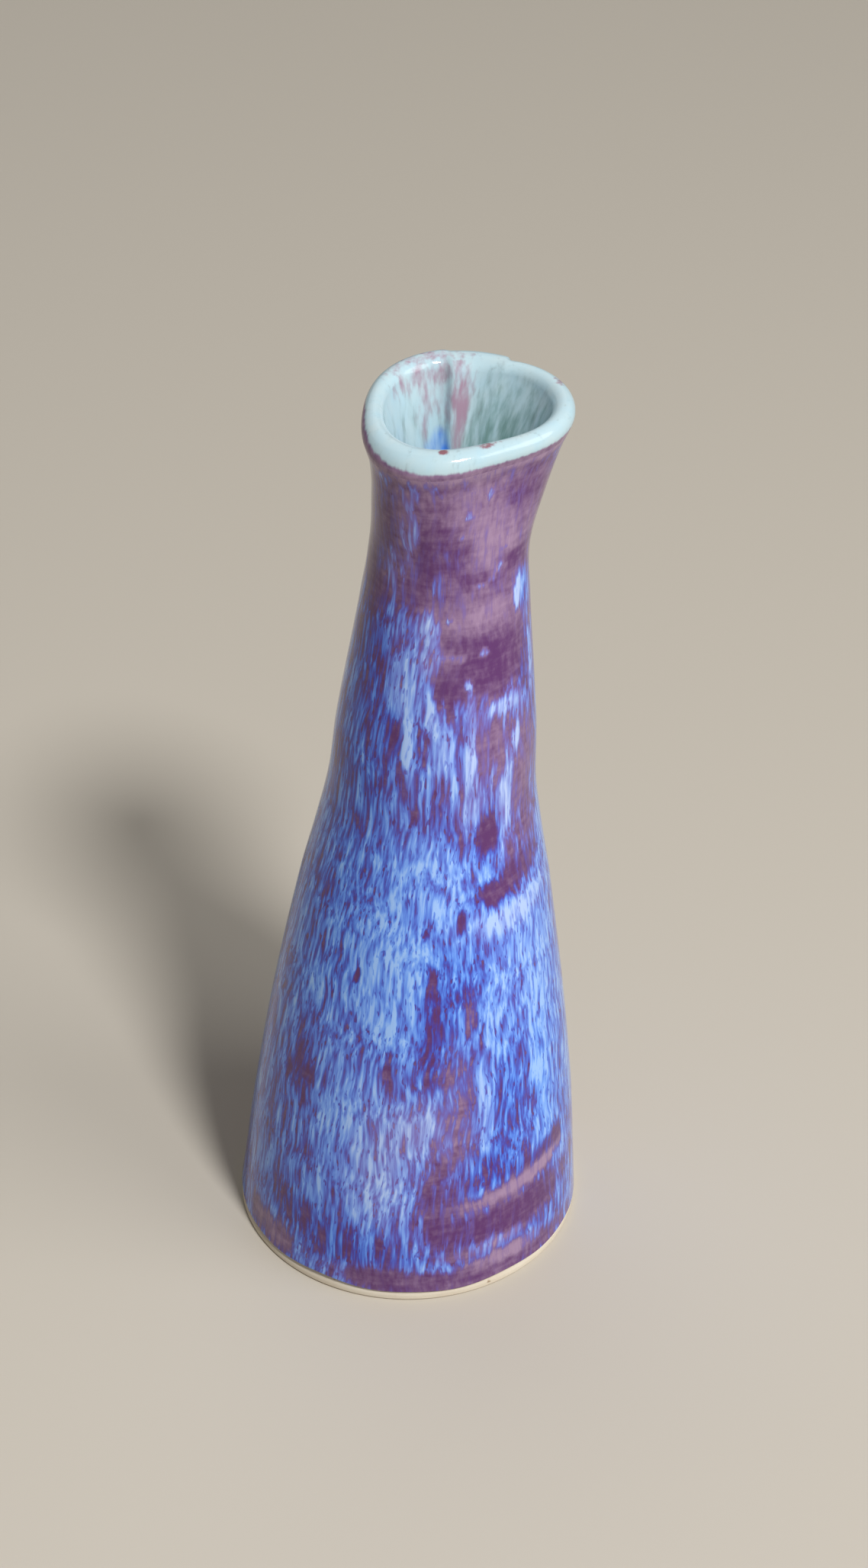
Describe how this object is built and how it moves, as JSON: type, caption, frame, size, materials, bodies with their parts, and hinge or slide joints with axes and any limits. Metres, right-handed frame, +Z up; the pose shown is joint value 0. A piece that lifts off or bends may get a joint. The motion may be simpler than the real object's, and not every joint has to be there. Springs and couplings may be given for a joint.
{
  "type": "bud vase",
  "caption": "Small ceramic bud vase: rolled slab tube tapering from a round foot to a narrow neck and flared lip, glazed in two coats.",
  "frame": {"origin": "centre of the round foot, on the surface that the vase stands on", "axes": "+Z up along the vase; -Y is the front; the vase leans a little towards +X, and its lapped seam is at the back right (+X, +Y)"},
  "size_m": [0.0445, 0.0444, 0.1207],
  "materials": {
    "bare_stoneware": "unglazed white stoneware, fine dry surface",
    "plum_blue_glaze": "glossy runny glaze, plum ground with light blue streaks",
    "pale_liner_glaze": "glossy pale blue-green liner glaze, breaking mauve on edges"
  },
  "bodies": {
    "root": {"floor_slab": "bare_stoneware", "wall_slab": "bare_stoneware", "sealing_coil": "bare_stoneware", "outer_glaze": "plum_blue_glaze", "liner_glaze": "pale_liner_glaze"}
  },
  "joints": []
}
